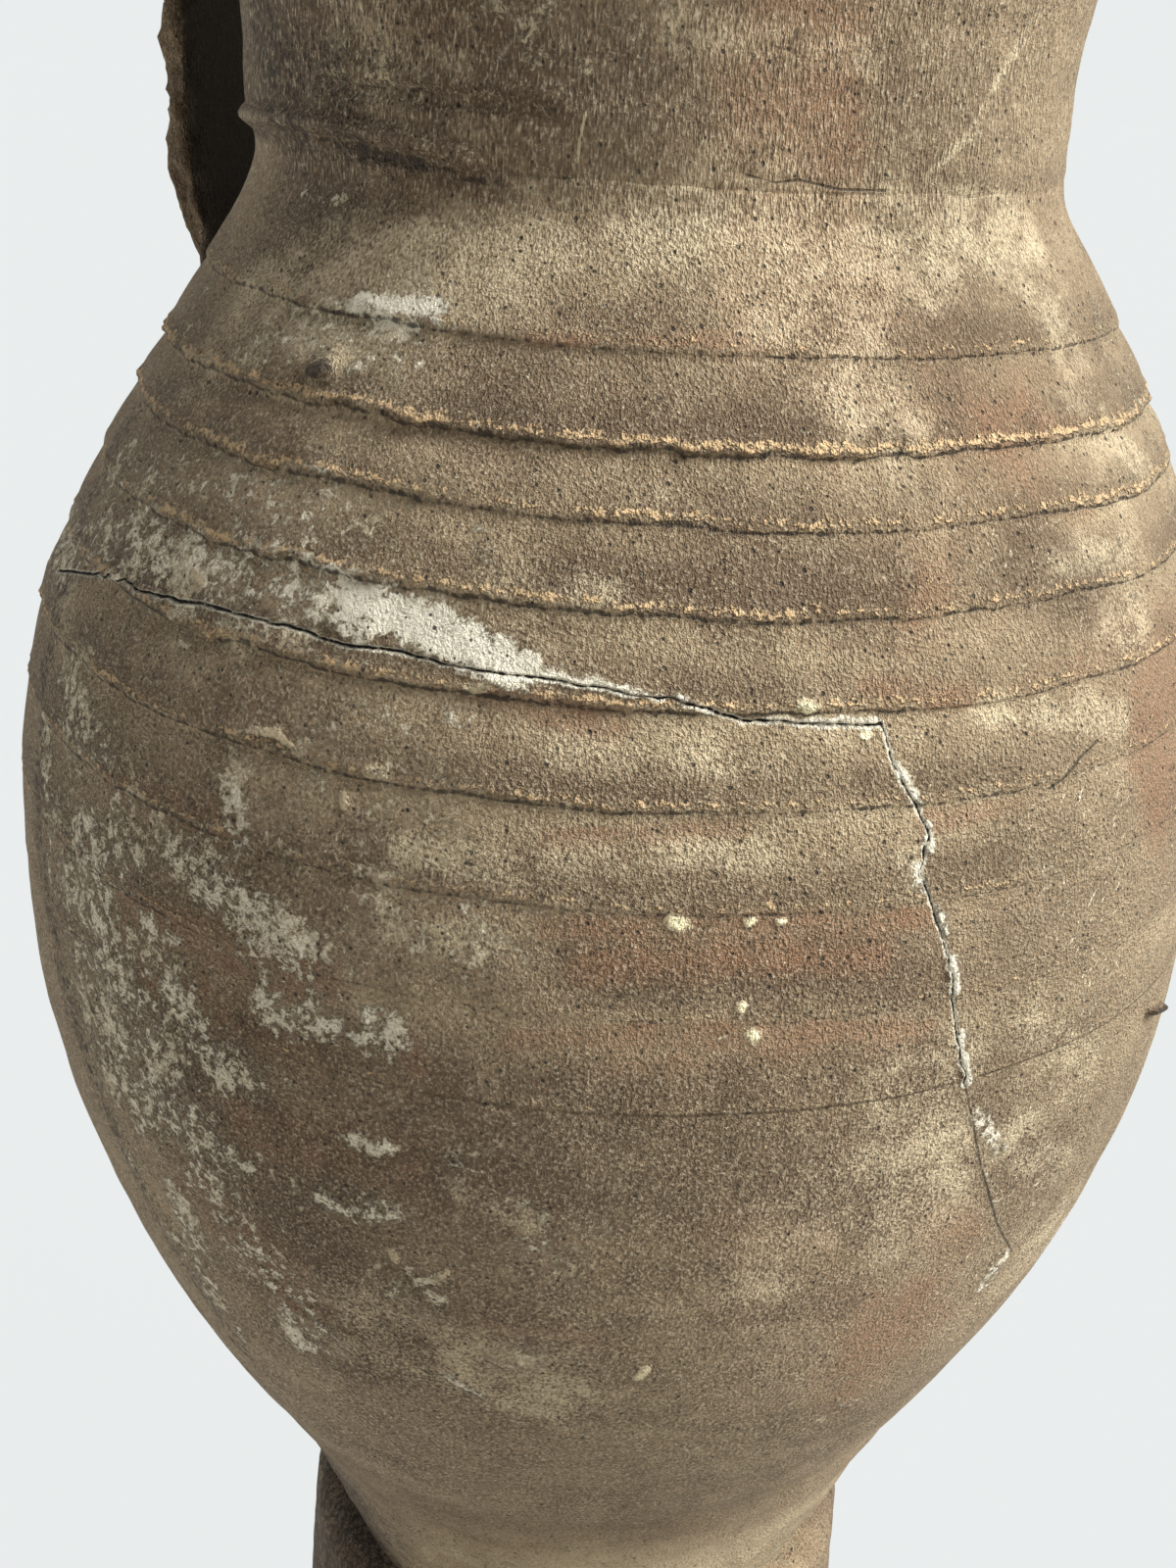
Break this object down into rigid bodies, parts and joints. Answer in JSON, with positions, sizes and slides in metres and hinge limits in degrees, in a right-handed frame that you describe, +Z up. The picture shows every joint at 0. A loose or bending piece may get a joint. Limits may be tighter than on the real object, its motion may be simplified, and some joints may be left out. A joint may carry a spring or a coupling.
{
  "type": "stoneware jug",
  "caption": "Unglazed stoneware jug with a rilled shoulder, wide flared neck, round belly, hollow foot and one strap handle, for holding and pouring liquids.",
  "frame": {"origin": "on the body's turning axis, in the plane that the foot rests on", "axes": "+Z up along the turning axis; the handle is on the -X side; the symmetry plane of body and handle is XZ"},
  "size_m": [0.22, 0.22, 0.403],
  "materials": {
    "body_clay": "unglazed brown stoneware, rough, lime-stained",
    "foot_clay": "unglazed tan-brown stoneware, rough",
    "neck_clay": "unglazed brown stoneware, brushed with pale slip",
    "handle_clay": "unglazed dark brown stoneware, rough",
    "luting_clay": "smeared brown clay, matt"
  },
  "bodies": {
    "root": {"foot": "foot_clay", "foot_coil": "luting_clay", "lower_body": "body_clay", "girth_coil": "luting_clay", "upper_body": "body_clay", "neck_coil": "luting_clay", "neck": "neck_clay", "handle_strap": "handle_clay", "handle_upper_pad": "handle_clay", "handle_lower_pad": "handle_clay"}
  },
  "joints": []
}
